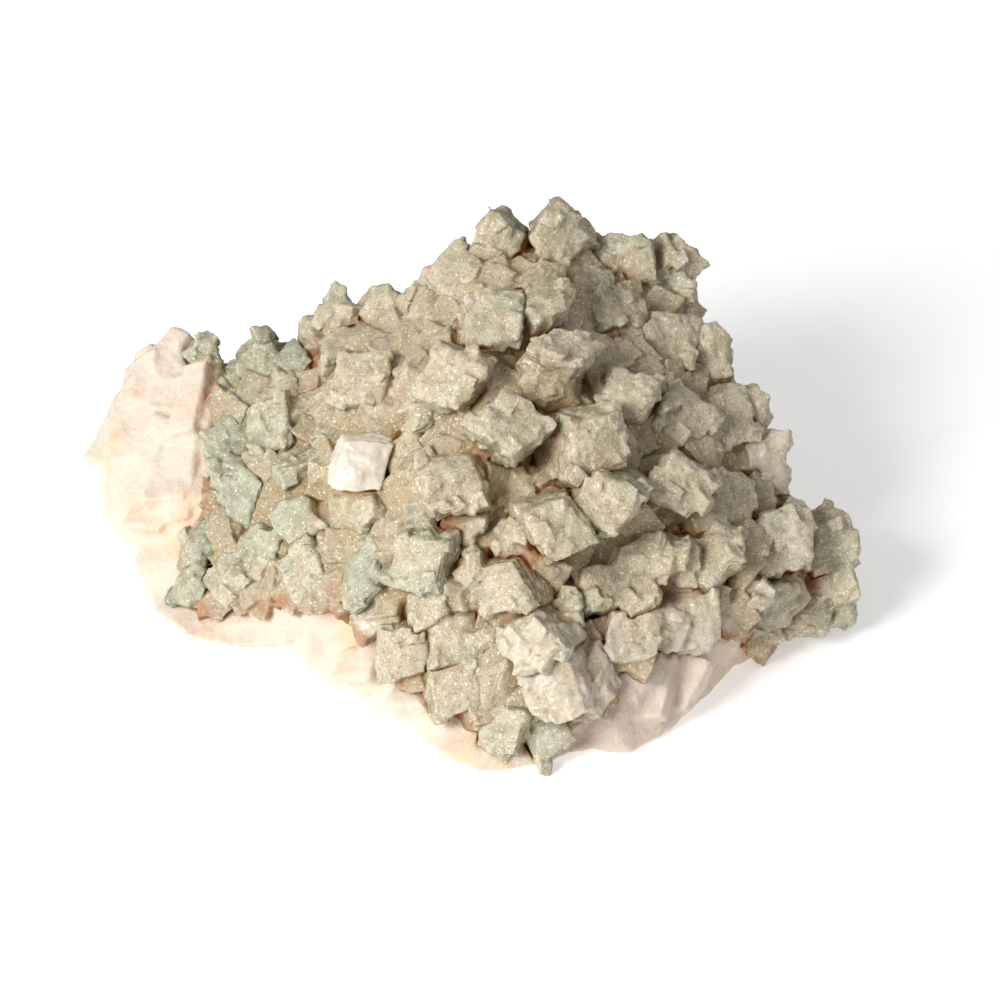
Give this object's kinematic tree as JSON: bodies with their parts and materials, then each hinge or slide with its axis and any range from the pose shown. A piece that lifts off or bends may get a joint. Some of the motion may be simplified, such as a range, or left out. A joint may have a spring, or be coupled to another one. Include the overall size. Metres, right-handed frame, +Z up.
{
  "type": "calcite specimen",
  "caption": "Calcite specimen: blocky, drusy rhombohedral crystals piled on a broken block of pale massive calcite, lying on a flat base.",
  "frame": {"origin": "middle of the bounding box seen from above, on the flat face that the specimen rests on", "axes": "+X to the right as the display face is looked at, +Y away from the viewer, +Z up"},
  "size_m": [0.1416, 0.0992, 0.0644],
  "materials": {
    "matrix": "rough broken calcite, cream with peach and rust stains",
    "crystal": "sparkling druse, beige faces with green-grey sides",
    "green_crystal": "sparkling druse, green-grey",
    "clear_crystal": "glassy, white to colourless"
  },
  "bodies": {
    "root": {"centre_crystal_1": "crystal", "centre_crystal_10": "crystal", "centre_crystal_11": "crystal", "centre_crystal_12": "crystal", "centre_crystal_2": "crystal", "centre_crystal_3": "crystal", "centre_crystal_4": "crystal", "centre_crystal_5": "crystal", "centre_crystal_6": "crystal", "centre_crystal_7": "crystal", "centre_crystal_8": "crystal", "centre_crystal_9": "crystal", "foot_crystal_1": "clear_crystal", "foot_crystal_10": "crystal", "foot_crystal_11": "green_crystal", "foot_crystal_2": "clear_crystal", "foot_crystal_3": "green_crystal", "foot_crystal_4": "crystal", "foot_crystal_5": "crystal", "foot_crystal_6": "crystal", "foot_crystal_7": "crystal", "foot_crystal_8": "crystal", "foot_crystal_9": "crystal", "left_crystal_1": "clear_crystal", "left_crystal_2": "crystal", "left_crystal_3": "crystal", "left_crystal_4": "green_crystal", "left_crystal_5": "crystal", "left_crystal_6": "green_crystal", "left_crystal_7": "crystal", "left_crystal_8": "crystal", "left_crystal_9": "crystal", "matrix": "matrix", "peak_crystal": "crystal", "rear_crystal_1": "crystal", "rear_crystal_2": "crystal", "rear_crystal_3": "crystal", "rear_crystal_4": "crystal", "rear_crystal_5": "crystal", "ridge_crystal_1": "crystal", "ridge_crystal_2": "crystal", "ridge_crystal_3": "crystal", "ridge_crystal_4": "crystal", "ridge_crystal_5": "crystal", "ridge_crystal_6": "crystal", "ridge_crystal_7": "crystal", "ridge_crystal_8": "green_crystal", "right_crystal_1": "crystal", "right_crystal_10": "crystal", "right_crystal_11": "green_crystal", "right_crystal_12": "clear_crystal", "right_crystal_2": "crystal", "right_crystal_3": "crystal", "right_crystal_4": "crystal", "right_crystal_5": "clear_crystal", "right_crystal_6": "crystal", "right_crystal_7": "crystal", "right_crystal_8": "crystal", "right_crystal_9": "crystal"}
  },
  "joints": []
}
